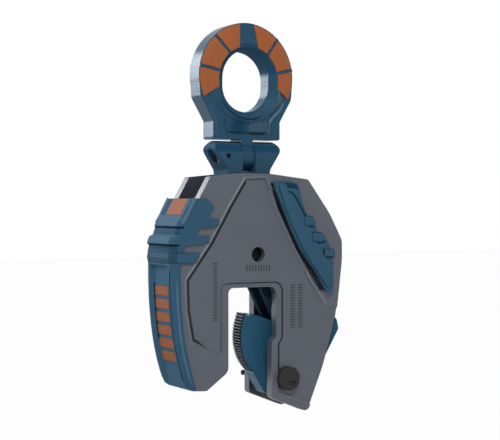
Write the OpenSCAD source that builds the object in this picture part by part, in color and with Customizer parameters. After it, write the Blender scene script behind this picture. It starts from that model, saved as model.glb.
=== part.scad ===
// Plate lifting clamp with a hinged lifting eye, a toothed cam and a swivelling jaw pad.
// X runs across the jaw, Y through the plates (front at -Y), Z up; the eye's centre is the origin.

/* [Lifting eye] */
// Outside diameter of the ring
eye_d = 121.6; // [114:0.2:130]
// Width of the hole for the hook
eye_hole_d = 60; // [56:1:64]
// How much taller than wide the hole is
eye_hole_rise = 10; // [6:1:14]
// Diameter of the hole where it opens at each face
eye_mouth_d = 75.4; // [73:0.2:80]
// Thickness of the ring at its rim
eye_t = 24; // [21:0.5:26]
// Thickness of the ring round the hole
eye_lip_t = 32.4; // [28:0.2:35]
// Length of the straight wall in the middle of the hole
eye_land = 13.6; // [10:0.2:17]
// Width of the block under the ring
eye_base_w = 86.5; // [80:0.5:92]
// From the ring's centre down to the underside of its block
eye_base_drop = 71.4; // [69:0.2:78]
// Width of the knuckle that hangs under the block
knuckle_w = 15.5; // [13:0.5:18]
// Radius of the knuckle round the hinge pin
knuckle_r = 16; // [14:0.5:16.5]

/* [Eye inserts] */
// How far the coloured segments stand out of the ring
insert_proud = 0.6; // [0.3:0.1:1.2]
// Depth of the pockets that hold the coloured segments
insert_depth = 2; // [1.5:0.1:2.6]
// Width of the blue edge between the coloured segments and the hole's mouth
insert_edge = 0.8; // [0.4:0.1:2.4]
// Width of the ribs between two segments
insert_rib_w = 3.6; // [2.4:0.2:6]

/* [Coupling] */
// Half thickness of the coupling block, which is also the radius of its top
coupling_half_t = 17.4; // [16.8:0.2:18]
// Gap between the eye's block and the coupling block
coupling_gap = 1.6; // [1.2:0.1:3]
// Width across the shoulders
shoulder_w = 86; // [78:1:92]
// Width of the stem between the side plates
stem_w = 54; // [46:1:56]
// Thickness of the stem's lower tongue and of the cam
tongue_t = 18; // [15:0.5:19]
// Diameter of the hinge pin that carries the eye
hinge_pin_d = 16; // [13:0.5:17]
// From the shoulders' outer faces in to the ends of the hinge pin
pin_end_in = 13; // [11:0.5:15]
// Diameter of the spring pins that lock the hinge pin and the cam pin
roll_pin_d = 6; // [5:0.5:7]

/* [Side plates] */
// Thickness of each side plate
plate_t = 11; // [9:0.5:14]
// Gap between the side plates
plate_gap = 40; // [38:0.5:46]
// From the hinge pin down to the top of the side plates
body_drop = 19.6; // [19.2:0.2:24]
// Depth of the sunken panel in the outer face
panel_depth = 2; // [1:0.2:3]
// Distance from the eye's axis to the fixed side of the jaw slot
slot_left = 34.5; // [32:0.5:38]
// Distance from the eye's axis to the cam side of the jaw slot
slot_right = 27.6; // [25:0.2:31]
// From the top of the plates down to the top of the jaw slot
slot_drop = 127.5; // [126.5:0.5:132]
// Width of the raised rim round the jaw slot
slot_rim = 6; // [4:0.5:7]
// Diameter of the hole that gives access to the upper link pin
access_d = 17; // [14:0.5:20]

/* [Jaw] */
// Diameter of the swivelling pad
pad_d = 37; // [32:0.5:38]
// Thickness of the pad
pad_t = 9; // [7:0.5:11]
// How far the pad's teeth stand into the slot
pad_proud = 2; // [1:0.2:4]
// Diameter of the pad's shank
shank_d = 16; // [12:0.5:20]
// Length of the pad's shank
shank_l = 26; // [20:1:30]
// From the top of the plates down to the pad's axis
pad_drop = 189; // [184:1:192]

/* [Cam] */
// Distance from the eye's axis to the cam pin
cam_x = 41.6; // [40:0.2:44]
// From the top of the plates down to the cam pin
cam_drop = 232; // [231:0.5:234]
// Diameter of the cam pin
cam_pin_d = 22; // [18:0.5:24]
// Diameter of the cam pin's head
cam_head_d = 27; // [25:0.5:30]
// Radius of the first tooth from the cam pin
tooth_first_r = 86.2; // [80:0.2:88]
// Radius of the last tooth from the cam pin
tooth_last_r = 33.6; // [30:0.2:36]
// Direction of the first tooth from the cam pin, in degrees
tooth_first_a = 120.5; // [118:0.5:124]
// Direction of the last tooth from the cam pin, in degrees
tooth_last_a = 168.3; // [164:0.1:172]
// Number of teeth on the cam
tooth_count = 24; // [16:1:30]
// Depth of the teeth
tooth_depth = 2.6; // [1.4:0.1:3]
// Radius of the hub round the cam pin
hub_r = 23; // [20:0.5:25]
// From the cam pin to the link pin
arm_r = 30; // [28:0.5:31]
// Direction of the link pin from the cam pin, in degrees
arm_a = 26.8; // [22:0.2:32]

/* [Links] */
// Diameter of both link pins
link_pin_d = 12; // [10:0.5:13]
// Thickness of a link plate
link_t = 7; // [5:0.5:8]
// Width of a link plate
link_w = 15; // [13:0.5:20]
// Radius of a link plate's ends
link_end_r = 13; // [11:0.5:14]
// Play of the lower link pin in the cam's long hole
link_play = 4.2; // [4:0.1:4.6]
// Distance from the eye's axis to the upper link pin
link_x = 5; // [2:0.2:7]
// From the top of the plates down to the upper link pin
link_drop = 91; // [89:0.5:93]

/* [Lock lever] */
// Diameter of the lever's shaft
lever_shaft_d = 12; // [10:0.5:14]
// Distance from the eye's axis to the lever's shaft
lever_x = 40; // [39:0.2:42]
// From the top of the plates down to the lever's shaft
lever_drop = 30; // [29:0.5:33]
// Thickness of the steel arm under the grip
arm_t = 3; // [2:0.2:4]
// Thickness of the moulded grip
grip_t = 6.6; // [4:0.2:8]
// Depth of the pocket beside the lever
pocket_depth = 5; // [2.4:0.2:7]

/* [Bumper] */
// How far the bumper's cheeks stand off the plates
cheek_t = 2.6; // [1.6:0.2:4]
// Thickness of the bumper along the plates' edge
bumper_t = 8.5; // [8:0.5:11]
// Width of the coloured bars along the bumper's back
bar_w = 34; // [28:1:38]
// Number of coloured bars
bar_count = 6; // [4:1:7]

/* [Hidden] */
$fn = 64;

// Colours
blue = "#2f5068";
orange = "#9e5a34";
plate_grey = "#5c5f65";
steel = "#8d9196";
black = "#303030";

// Clearances: running fit of pins, side play between moving parts, and depth of cuts past a face
run_gap = 0.05;
side_gap = 0.5;
seat_gap = 0.3;
past = 1;

// Heights above the eye's centre
hinge_z = -(eye_base_drop + coupling_gap + coupling_half_t);
body_top_z = hinge_z - body_drop;
inner_y = plate_gap / 2;
outer_y = inner_y + plate_t;

// Pivots in the body's own heights, which start at the top of the plates
cam_at = [cam_x, -cam_drop];
link_top_at = [link_x, -link_drop];
link_foot_at = cam_at + arm_r * [cos(arm_a), sin(arm_a)];
lever_at = [lever_x, -lever_drop];
link_in_y = tongue_t / 2 + side_gap;
link_out_y = link_in_y + link_t;
cam_hole_r = link_pin_d / 2 + link_play;

// Jaw pad
pad_tip_x = -slot_left + pad_proud;
pad_back_x = pad_tip_x - pad_t;
jaw_block_half = 38;

slot_foot_step = 6.3;

// The bumper's back, and the plates' left edge a bumper's thickness in from it
back_line = [[-79.5, -28], [-90.5, -50], [-103.5, -76], [-105.5, -110], [-104.3, -150], [-99, -186], [-89, -226]];
left_edge = [for (p = back_line) p + [bumper_t, 0]];

// Half the angle at a corner beyond which the corner counts as straight
straight_half = 89;

// Points of a fillet of radius p[2] at p, between the neighbours a and b. It takes up no more than
// its half of either edge.
function unit(v) = v / norm(v);
function fillet_pts(a, p, b) =
  let (
    at = [p[0], p[1]],
    u = unit([a[0], a[1]] - at),
    w = unit([b[0], b[1]] - at),
    half = acos(max(-1, min(1, u * w))) / 2
  )
  half > straight_half ? [at] :
  let (
    reach = min(p[2] / tan(half), 0.48 * norm([a[0], a[1]] - at), 0.48 * norm([b[0], b[1]] - at)),
    radius = reach * tan(half),
    centre = at + unit(u + w) * (radius / sin(half)),
    from = at + u * reach - centre,
    to = at + w * reach - centre,
    a0 = atan2(from[1], from[0]),
    turn = ((atan2(to[1], to[0]) - a0 + 540) % 360) - 180,
    steps = max(2, ceil(abs(turn) / 18))
  )
  [for (i = [0:steps]) centre + radius * [cos(a0 + turn * i / steps), sin(a0 + turn * i / steps)]];

// Outline from corners [x, z, radius], with radius 0 for a sharp corner
function outline(corners) =
  let (n = len(corners))
  [for (i = [0:n - 1])
    let (p = corners[i], r = is_undef(p[2]) ? 0 : p[2])
    for (q = r > 0 ? fillet_pts(corners[(i + n - 1) % n], p, corners[(i + 1) % n]) : [[p[0], p[1]]]) q];

// Extrusion of an X-Z shape from one depth to another
module slab(y_from, y_to) {
  translate([0, y_to, 0])
    rotate([90, 0, 0])
      linear_extrude(y_to - y_from)
        children();
}

// Round bar or hole along Y, centred on an X-Z point
module bar_y(at, r, y_from, y_to) {
  translate([at[0], y_to, at[1]])
    rotate([90, 0, 0])
      cylinder(r = r, h = y_to - y_from);
}

module bar_x(y, z, r, x_from, x_to) {
  translate([x_from, y, z])
    rotate([0, 90, 0])
      cylinder(r = r, h = x_to - x_from);
}

module in_body() {
  translate([0, 0, body_top_z])
    children();
}

// Shape of the side plates

plate_corners = concat(
  [
    [-57, -3.8, 3], [-18, 0, 60], [20, -0.2, 60], [70, -6, 5], [100, -45.8, 90],
    [116.7, -76.5, 14], [116.7, -99, 60], [109, -163, 80], [92, -219, 100], [69.5, -272.5, 7],
    [slot_right - slot_foot_step, -253.2, 5],
    [slot_right - slot_foot_step, -190.5, 4],
    [slot_right, -184.2, 4],
    [slot_right, -slot_drop, 9],
    [-slot_left, -slot_drop, 6],
    [-slot_left, -220, 10],
    [-61.5, -239.3, 5], [-73, -239, 3]
  ],
  [for (i = [len(left_edge) - 1:-1:0]) [left_edge[i][0], left_edge[i][1], i == 0 ? 3 : 20]]
);

panel_corners = [
  [-57, -196, 4], [-80.5, -184, 4], [-86.5, -150, 20], [-87.5, -117, 4], [-57.5, -77, 10],
  [-32, -34, 10], [-13, -5.5, 2], [14, -4.2, 4], [21.4, -19, 4], [27.4, -36.5, 4], [40.9, -62, 20],
  [54.4, -87.5, 20], [67.9, -108.5, 10], [94.4, -150, 2], [140, -162, 0], [140, -270, 0], [75, -265, 0],
  [59.7, -259.3, 20], [29, -247.5, 5], [slot_right + slot_rim - 4.7, -192, 3], [slot_right + slot_rim, -185.5, 3],
  [slot_right + slot_rim, -slot_drop + slot_rim * 0.6, 9],
  [-slot_left - slot_rim * 1.3, -slot_drop + slot_rim * 0.6, 6],
  [-slot_left - slot_rim * 1.3, -205, 10]
];

// The grip's outline; its right side carries three finger steps
grip_corners = [
  [20.5, -9, 2], [43, -8.6, 3], [50.5, -10.2, 2], [54.5, -18.3, 4], [57.2, -29.7, 8], [61.9, -42.2, 4],
  [65.2, -49.3, 0.6], [72, -50.2, 1.6], [75, -58.8, 2], [77.8, -64.9, 0.8], [84.3, -68.4, 2], [91.2, -75.7, 3],
  [95.6, -84.2, 2], [97.6, -87.3, 0.6], [100.9, -86.8, 1.2], [101.3, -94.9, 1], [99.5, -96.8, 0.6],
  [100.2, -131, 4], [97, -136, 3], [91.5, -135.2, 4],
  [74, -112, 20], [54, -86.5, 20], [40.5, -61.5, 20], [29.8, -37.5, 20], [20.5, -18, 4]
];

pocket_corners = [
  [16.9, -11, 3], [34, -11, 3], [45, -40, 10], [64, -80, 20], [92, -130, 3], [87.5, -136, 2.5],
  [64.4, -107, 20], [50.6, -86, 20], [37.2, -61, 20], [24.2, -35, 20]
];

module side_plate() {
  difference() {
    slab(inner_y, outer_y) polygon(outline(plate_corners));
    slab(outer_y - panel_depth, outer_y + past) polygon(outline(panel_corners));
    bar_y(cam_at, cam_pin_d / 2 + run_gap, inner_y - past, outer_y + past);
    bar_y(cam_at, cam_head_d / 2 + seat_gap, outer_y - panel_depth, outer_y + past);
    bar_y(lever_at, lever_shaft_d / 2 + run_gap, inner_y - past, outer_y + past);
    bar_y(link_top_at, access_d / 2, inner_y - past, outer_y + past);
  }
}

module front_side_plate() {
  color(plate_grey)
    in_body()
      difference() {
        mirror([0, 1, 0])
          side_plate();
        slab(-outer_y - past, -outer_y + pocket_depth) polygon(outline(pocket_corners));
      }
}

module back_side_plate() {
  color(plate_grey)
    in_body()
      side_plate();
}

// Welded pieces between the plates

module jaw_block() {
  block_right = pad_back_x - seat_gap;
  color(plate_grey)
    in_body()
      difference() {
        slab(-inner_y, inner_y)
          polygon([
            [block_right, -pad_drop + jaw_block_half],
            [left_edge[4][0] + 2.5, -pad_drop + jaw_block_half],
            [left_edge[5][0] + 2, left_edge[5][1]],
            [left_edge[6][0] + 3, -pad_drop - jaw_block_half],
            [block_right, -pad_drop - jaw_block_half]
          ]);
        bar_x(0, -pad_drop, shank_d / 2 + run_gap, block_right - shank_l - 2, block_right + past);
        bar_x(0, -pad_drop, shank_d / 2 + 3, block_right - 8, block_right - 5);
      }
}

module upper_spacer() {
  color(plate_grey)
    in_body()
      slab(-inner_y, inner_y)
        polygon(outline([
          [left_edge[1][0] + 8, -42, 3], [left_edge[1][0] + 1.5, -56, 3],
          [left_edge[1][0] + 16, -68, 3], [left_edge[1][0] + 24, -52, 3]
        ]));
}

module middle_spacer() {
  color(plate_grey)
    in_body()
      slab(-inner_y, inner_y)
        polygon(outline([
          [-74, -slot_drop + 26, 4], [-24, -slot_drop + 26, 4],
          [-24, -slot_drop + slot_rim, 4], [-74, -slot_drop + slot_rim, 4]
        ]));
}

module right_spacer() {
  color(plate_grey)
    in_body()
      bar_y([101, -88], 9, -inner_y, inner_y);
}

// Lifting eye

// The ring's faces rise from the rim to a lip round the hole, whose mouth sits lower than the ring
mouth_low = -4.4;
mouth_r = eye_mouth_d / 2;
lip_r = 37.5;
rim_r = eye_d / 2 - 2.4;
ring_y = eye_t / 2;
lip_y = eye_lip_t / 2;
rib_proud = 0.6;

module eye_ring_2d() {
  base_z = -eye_base_drop;
  union() {
    circle(d = eye_d, $fn = 128);
    polygon(outline([
      [-eye_base_w / 2, base_z, 2.5], [eye_base_w / 2, base_z, 2.5],
      [eye_base_w / 2, base_z + 21, 6], [eye_d / 2 - 1.8, -24, 3], [eye_d / 2 - 0.4, -6, 0], [0, 0, 0],
      [-eye_d / 2 + 0.4, -6, 0], [-eye_d / 2 + 1.8, -24, 3], [-eye_base_w / 2, base_z + 21, 6]
    ]));
  }
}

// Region above the slanted ends of the lowest coloured segments
module above_segments_2d() {
  reach = eye_d;
  end_slope = tan(34.4);
  polygon([[-reach, 13.4 - reach * end_slope], [0, 13.4], [reach, 13.4 - reach * end_slope], [reach, reach], [-reach, reach]]);
}

// Sloped face of the ring, and the lower dish with its foot
module eye_face() {
  intersection() {
    translate([0, ring_y - 0.5, 0])
      rotate([-90, 0, 0])
        cylinder(r1 = rim_r + 0.5, r2 = lip_r, h = lip_y - ring_y + 0.5, $fn = 96);
    slab(0, lip_y + past) above_segments_2d();
  }
  translate([0, ring_y - 0.5, -9])
    rotate([-90, 0, 0])
      cylinder(r1 = 49, r2 = 40.5, h = lip_y - ring_y + 0.5, $fn = 96);
  slab(ring_y - 0.5, ring_y + 1.9)
    polygon(outline([
      [-29, -46, 0], [29, -46, 0], [27, -eye_base_drop + 8.5, 3], [-27, -eye_base_drop + 8.5, 3]
    ]));
}

// Outline of the coloured segments on one side of the ring, between its ribs
rib_low = -3.5;
module eye_segments_2d() {
  reach = eye_d;
  for (side = [0, 1])
    mirror([side, 0])
      difference() {
        intersection() {
          above_segments_2d();
          polygon([[12.4, 30], [8.9, 61], [8.9, reach], [reach, reach], [reach, -reach], [12.4, -reach]]);
        }
        translate([0, mouth_low]) circle(r = mouth_r + insert_edge, $fn = 96);
        for (a = [13, 50])
          translate([0, rib_low])
            rotate(a)
              translate([0, -insert_rib_w / 2])
                square([reach, insert_rib_w]);
      }
}

// The segments follow the ring's sloped face, with a wide bevel along their outer edge
insert_r = eye_d / 2 - 0.8;
module eye_segments(profile) {
  intersection() {
    rotate([-90, 0, 0])
      rotate_extrude($fn = 128)
        polygon(profile);
    slab(0, lip_y + 2 * past) eye_segments_2d();
  }
}

module eye_inserts() {
  top = insert_proud;
  low = -insert_depth;
  eye_segments([
    [30, lip_y + low], [30, lip_y + top], [lip_r, lip_y + top], [rim_r - 4.4, ring_y + 1.1 + top],
    [insert_r - 0.7, ring_y - 0.5 + top], [insert_r, ring_y - 1.2 + top], [insert_r, ring_y + low],
    [lip_r, lip_y + low]
  ]);
}

// Pockets for the segments, open towards the rim
module eye_insert_pockets() {
  low = -insert_depth;
  clear = lip_y + 2 * past;
  eye_segments([
    [30, lip_y + low], [30, clear], [eye_d / 2 + 4, clear], [eye_d / 2 + 4, ring_y - 0.6],
    [insert_r, ring_y - 0.6], [insert_r, ring_y + low], [lip_r, lip_y + low]
  ]);
}

module eye_inserts_front() {
  color(orange)
    mirror([0, 1, 0])
      eye_inserts();
}

module eye_inserts_back() {
  color(orange)
    eye_inserts();
}

// Flared mouth of the hole at the back face; the front one is its mirror
module eye_mouth() {
  land_y = eye_land / 2;
  depth = lip_y - land_y;
  in_r = eye_hole_d / 2 - 2;
  for (low = [mouth_low, mouth_low - eye_hole_rise * 0.35, mouth_low - eye_hole_rise * 0.7])
    translate([0, land_y, low])
      rotate([-90, 0, 0])
        cylinder(r1 = in_r, r2 = in_r + 2 * (mouth_r - in_r), h = 2 * depth, $fn = 96);
}

module lifting_eye() {
  color(blue)
    difference() {
      union() {
        slab(-ring_y, ring_y) eye_ring_2d();
        for (side = [0, 1])
          mirror([0, side, 0]) eye_face();
        for (side = [0, 1])
          mirror([side, 0, 0])
            for (a = [13, 50])
              translate([0, 0, rib_low])
                rotate([0, -a, 0])
                  translate([eye_d / 2 - 6, -ring_y - 0.6, -insert_rib_w / 2])
                    cube([6 + rib_proud, 2 * ring_y + 1.2, insert_rib_w]);
        bar_x(0, hinge_z, knuckle_r, -knuckle_w / 2, knuckle_w / 2);
        translate([-knuckle_w / 2, -ring_y, hinge_z])
          cube([knuckle_w, 2 * ring_y, -eye_base_drop - hinge_z + 1]);
      }
      for (low = [0, -eye_hole_rise / 2, -eye_hole_rise])
        bar_y([0, low], eye_hole_d / 2, -eye_lip_t, eye_lip_t);
      for (side = [0, 1])
        mirror([0, side, 0]) {
          eye_mouth();
          eye_insert_pockets();
        }
      bar_x(0, hinge_z, hinge_pin_d / 2 + run_gap, -knuckle_w, knuckle_w);
    }
}

// Coupling block between the eye and the links

hinge_pin_l = shoulder_w - 2 * pin_end_in;
roll_x = -(shoulder_w / 2 - 16.7);

module coupling_block() {
  shoulder_z = hinge_z + 8.9;
  neck_z = hinge_z - 15.5;
  flank_z = body_top_z - 55;
  eye_z = body_top_z - link_drop;
  tongue_top_z = eye_z + link_end_r + 10;
  slot_w = knuckle_w + 2 * side_gap;
  color(blue)
    difference() {
      union() {
        intersection() {
          slab(-coupling_half_t, coupling_half_t)
            polygon(outline([
              [-shoulder_w / 2 + 6, hinge_z + coupling_half_t + past, 0],
              [-shoulder_w / 2, shoulder_z, 7],
              [-stem_w / 2, neck_z, 10],
              [-stem_w / 2, flank_z, 6],
              [link_x - 20, tongue_top_z, 2],
              [link_x + 20, tongue_top_z, 2],
              [stem_w / 2, flank_z, 6],
              [stem_w / 2, neck_z, 10],
              [shoulder_w / 2, shoulder_z, 7],
              [shoulder_w / 2 - 6, hinge_z + coupling_half_t + past, 0]
            ]));
          union() {
            bar_x(0, hinge_z, coupling_half_t, -shoulder_w, shoulder_w);
            translate([-shoulder_w, -coupling_half_t, hinge_z - 200])
              cube([2 * shoulder_w, 2 * coupling_half_t, 200]);
          }
        }
        slab(-tongue_t / 2, tongue_t / 2)
          polygon(outline([
            [link_x - 20, tongue_top_z + 5, 0], [link_x - 15, eye_z, 0],
            [link_x + 15, eye_z, 0], [link_x + 20, tongue_top_z + 5, 0]
          ]));
        bar_y([link_x, eye_z], 16, -tongue_t / 2, tongue_t / 2);
      }
      translate([-slot_w / 2, -coupling_half_t - past, hinge_z - knuckle_r - 8.5])
        cube([slot_w, 2 * coupling_half_t + 2 * past, 60]);
      bar_x(0, hinge_z, hinge_pin_d / 2 + run_gap, -shoulder_w, shoulder_w);
      bar_y([roll_x, hinge_z], roll_pin_d / 2 + run_gap, -coupling_half_t - past, coupling_half_t + past);
      bar_y([link_x, eye_z], link_pin_d / 2 + run_gap, -tongue_t, tongue_t);
    }
}

module hinge_pin() {
  color(steel)
    difference() {
      bar_x(0, hinge_z, hinge_pin_d / 2, -hinge_pin_l / 2, hinge_pin_l / 2);
      bar_y([roll_x, hinge_z], roll_pin_d / 2 + run_gap, -hinge_pin_d, hinge_pin_d);
    }
}

module hinge_roll_pin() {
  color(black)
    bar_y([roll_x, hinge_z], roll_pin_d / 2, -coupling_half_t + 3, coupling_half_t - 3);
}

// Jaw pad with a shank that turns in the jaw block

module jaw_pad() {
  ring_step = 3.4;
  groove = 1.6;
  teeth_r = pad_d / 2 - 1.5;
  rings = floor(teeth_r / ring_step);
  color(steel)
    in_body()
      translate([pad_back_x, 0, -pad_drop])
        rotate([0, 90, 0])
          rotate_extrude()
            polygon(concat(
              [[0, -shank_l], [shank_d / 2 - 1, -shank_l], [shank_d / 2, -shank_l + 1]],
              [[shank_d / 2, -8.3], [shank_d / 2 - 1, -8.3], [shank_d / 2 - 1, -6.3], [shank_d / 2, -6.3]],
              [[shank_d / 2, 0], [pad_d / 2, 0], [pad_d / 2, pad_t - groove - 1]],
              [for (i = [rings:-1:1]) each [
                [i * ring_step, pad_t - groove],
                [(i - 0.5) * ring_step, pad_t]
              ]],
              [[0, pad_t - groove]]
            ));
}

module jaw_pad_ring() {
  block_right = pad_back_x - seat_gap;
  color(black)
    in_body()
      difference() {
        bar_x(0, -pad_drop, shank_d / 2 + 2.7, block_right - 7.6, block_right - 6.4);
        bar_x(0, -pad_drop, shank_d / 2 - 0.9, block_right - 9, block_right - 5);
      }
}

// Toothed cam: a spiral of teeth, a hub on the cam pin and a tail through the plates' right side

function tooth_r(t) = tooth_first_r + (tooth_last_r - tooth_first_r) * t;
function tooth_a(t) = tooth_first_a + (tooth_last_a - tooth_first_a) * t;
function cam_polar(r, a) = cam_at + r * [cos(a), sin(a)];
function cam_corner(r, a, fillet) = concat(cam_polar(r, a), [fillet]);
cam_teeth = [for (i = [0:tooth_count - 1]) each [
  cam_polar(tooth_r(i / tooth_count), tooth_a(i / tooth_count)),
  cam_polar(tooth_r((i + 0.75) / tooth_count) - tooth_depth, tooth_a((i + 0.6) / tooth_count))
]];

// The tail's tip, the corner above it and the one where it leaves the hub
tail = [[98.8, 30.7, 5], [106, 40, 8], [64.7, 12.9, 20]];
cam_corners = concat(
  cam_teeth,
  [cam_polar(tooth_last_r, tooth_last_a)],
  outline([
    cam_polar(tooth_last_r - 2, tooth_last_a + 3),
    [cam_at[0] - hub_r * 0.72, cam_at[1] - hub_r * 0.8, 6],
    [cam_at[0] + 2, cam_at[1] - hub_r - 1, 20],
    [cam_at[0] + 22, cam_at[1] - hub_r + 4, 16],
    cam_corner(tail[2][0], tail[2][1], tail[2][2]),
    cam_corner(tail[0][0], tail[0][1], tail[0][2]),
    cam_corner(tail[1][0], tail[1][1], tail[1][2]),
    cam_corner(66, 52, 24),
    cam_corner(62, tooth_first_a - 28.5, 24),
    cam_corner(tooth_first_r - 3.2, tooth_first_a - 4, 3)
  ])
);

module jaw_cam() {
  color(blue)
    in_body()
      difference() {
        slab(-tongue_t / 2, tongue_t / 2) polygon(cam_corners);
        bar_y(cam_at, cam_pin_d / 2 + run_gap, -tongue_t, tongue_t);
        bar_y(link_foot_at, cam_hole_r, -tongue_t, tongue_t);
      }
}

cam_head_t = 6;
cam_pin_end = outer_y + 12;
cam_roll_y = outer_y + 6.5;
cam_roll_l = 40;

module cam_pin() {
  color(black)
    in_body()
      difference() {
        union() {
          bar_y(cam_at, cam_head_d / 2, -outer_y - cam_head_t, -outer_y + panel_depth);
          bar_y(cam_at, cam_pin_d / 2, -outer_y, cam_pin_end);
        }
        translate([cam_at[0] - 1.5, -outer_y - cam_head_t - past, cam_at[1] - 7])
          cube([9, past + 1.6, 4]);
        bar_x(cam_roll_y, cam_at[1], roll_pin_d / 2 + run_gap, cam_at[0] - cam_roll_l, cam_at[0] + cam_roll_l);
      }
}

module cam_washers() {
  washer_r = arm_r - link_end_r - link_play - seat_gap;
  color(steel)
    in_body()
      for (side = [0, 1])
        mirror([0, side, 0])
          difference() {
            bar_y(cam_at, washer_r, tongue_t / 2 + seat_gap, inner_y);
            bar_y(cam_at, cam_pin_d / 2 + run_gap, 0, inner_y + past);
          }
}

module cam_roll_pin() {
  color(black)
    in_body()
      bar_x(cam_roll_y, cam_at[1], roll_pin_d / 2, cam_at[0] - cam_roll_l / 2, cam_at[0] + cam_roll_l / 2);
}

// Links between the coupling block and the cam

link_dir = unit(link_foot_at - link_top_at);
link_side = [-link_dir[1], link_dir[0]];

module link_plate() {
  half_w = link_w / 2;
  difference() {
    union() {
      bar_y(link_top_at, link_end_r, link_in_y, link_out_y);
      bar_y(link_foot_at, link_end_r, link_in_y, link_out_y);
      slab(link_in_y, link_out_y)
        polygon([
          link_top_at + half_w * link_side, link_foot_at + half_w * link_side,
          link_foot_at - half_w * link_side, link_top_at - half_w * link_side
        ]);
    }
    bar_y(link_top_at, link_pin_d / 2 + run_gap, 0, inner_y);
    bar_y(link_foot_at, link_pin_d / 2 + run_gap, 0, inner_y);
  }
}

module link_front() {
  color(blue)
    in_body()
      mirror([0, 1, 0])
        link_plate();
}

module link_back() {
  color(blue)
    in_body()
      link_plate();
}

link_pin_end = link_out_y + 2.4;
link_ring_y = link_out_y + 0.2;
link_ring_t = 1;

module link_pin(at) {
  difference() {
    bar_y(at, link_pin_d / 2, -link_pin_end, link_pin_end);
    for (side = [0, 1])
      mirror([0, side, 0])
        difference() {
          bar_y(at, link_pin_d, link_ring_y, link_ring_y + link_ring_t + 0.1);
          bar_y(at, link_pin_d / 2 - 0.8, link_ring_y - past, link_ring_y + link_ring_t + past);
        }
  }
}

module upper_link_pin() {
  color(black)
    in_body()
      link_pin(link_top_at);
}

module lower_link_pin() {
  color(steel)
    in_body()
      link_pin(link_foot_at);
}

module link_pin_rings() {
  color(black)
    in_body()
      for (at = [link_top_at, link_foot_at])
        for (side = [0, 1])
          mirror([0, side, 0])
            difference() {
              bar_y(at, link_pin_d / 2 + 2, link_ring_y + 0.05, link_ring_y + link_ring_t + 0.05);
              bar_y(at, link_pin_d / 2 - 0.75, link_ring_y - past, link_ring_y + link_ring_t + past);
            }
}

// Lock lever on its shaft

arm_y = -outer_y - seat_gap;
grip_y = arm_y - arm_t;
square_side = lever_shaft_d * 0.62;

module lever_square(y_from, y_to, grow) {
  side = square_side + 2 * grow;
  translate([lever_at[0] - side / 2, y_from, lever_at[1] - side / 2])
    cube([side, y_to - y_from, side]);
}

module lever_arm() {
  color(black)
    in_body()
      difference() {
        slab(grip_y, arm_y)
          polygon(outline([
            [22, -11.5, 3], [42, -11, 3], [49.5, -14, 3], [56, -33, 20], [73, -65, 20], [92, -90, 10],
            [97, -128, 3], [92.5, -132, 3], [72.5, -108, 20], [55, -85, 20], [41.5, -60.5, 20], [30, -35, 20]
          ]));
        lever_square(grip_y - past, arm_y + past, run_gap);
      }
}

module lever_grip() {
  color(blue)
    in_body()
      union() {
        slab(grip_y - grip_t * 0.55, grip_y)
          polygon(outline(grip_corners));
        slab(grip_y - grip_t, grip_y - grip_t * 0.55)
          polygon(outline([
            [25, -12, 3], [41, -12, 3], [47, -15, 3], [53.5, -33, 20], [62, -52, 10], [70, -68, 10],
            [84, -90, 10], [94.5, -104, 6], [95, -128, 3], [91, -130, 3],
            [73, -106, 20], [57.5, -84.5, 20], [44.5, -60.5, 20], [33.5, -36.5, 20]
          ]));
      }
}

lever_pin_end = outer_y + 4;
lever_ring_y = outer_y + seat_gap;

module lever_shaft() {
  color(steel)
    in_body()
      difference() {
        union() {
          bar_y(lever_at, lever_shaft_d / 2, arm_y, lever_pin_end);
          lever_square(grip_y, arm_y + past, 0);
        }
        difference() {
          bar_y(lever_at, lever_shaft_d, lever_ring_y, lever_ring_y + 1.4);
          bar_y(lever_at, lever_shaft_d / 2 - 0.9, lever_ring_y - past, lever_ring_y + 3);
        }
      }
}

module lever_back_ring() {
  color(black)
    in_body()
      difference() {
        bar_y(lever_at, lever_shaft_d / 2 + 3, lever_ring_y + 0.1, lever_ring_y + 1.3);
        bar_y(lever_at, lever_shaft_d / 2 - 0.85, lever_ring_y - past, lever_ring_y + 3);
      }
}

// The eccentric wedges the coupling's stem when the lever is swung out
lock_swing = 55;
flank_gap = lever_x - stem_w / 2;
lobe_r = 9.4;
lobe_shift = flank_gap - seat_gap - lobe_r;

module lock_eccentric() {
  lobe_at = lever_at + lobe_shift * [cos(180 - lock_swing), sin(180 - lock_swing)];
  color(steel)
    in_body()
      difference() {
        union() {
          bar_y(lobe_at, lobe_r, -8, 8);
          bar_y(lever_at, lever_shaft_d / 2 + 2, -8, 12);
        }
        bar_y(lever_at, lever_shaft_d / 2 + run_gap, -inner_y, inner_y);
      }
}

spring_turns = 4;
spring_wire = 1.6;
spring_r = lever_shaft_d / 2 + 2.4;
function spring_point(t) = [
  lever_at[0] + spring_r * cos(360 * t), -inner_y + 1.4 + t * (spring_wire + 0.5), lever_at[1] + spring_r * sin(360 * t)
];

// A tube of hexagonal section along points, closed at both ends
module tube(points, r) {
  sides = 6;
  n = len(points);
  rings = [for (i = [0:n - 1])
    let (
      d = unit(points[min(i + 1, n - 1)] - points[max(i - 1, 0)]),
      side = unit(cross(d, [0, 1, 0])),
      up = cross(side, d)
    )
    for (k = [0:sides - 1]) points[i] + r * (side * cos(60 * k) + up * sin(60 * k))];
  walls = [for (i = [0:n - 2]) for (k = [0:sides - 1])
    let (a = i * sides + k, b = i * sides + (k + 1) % sides)
    each [[a, b, b + sides], [a, b + sides, a + sides]]];
  caps = [[for (k = [sides - 1:-1:0]) k], [for (k = [0:sides - 1]) (n - 1) * sides + k]];
  polyhedron(points = rings, faces = concat(walls, caps), convexity = 6);
}

module lock_spring() {
  steps = spring_turns * 16;
  color(steel)
    in_body()
      tube([for (i = [0:steps]) spring_point(i / 16)], spring_wire / 2);
}

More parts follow.
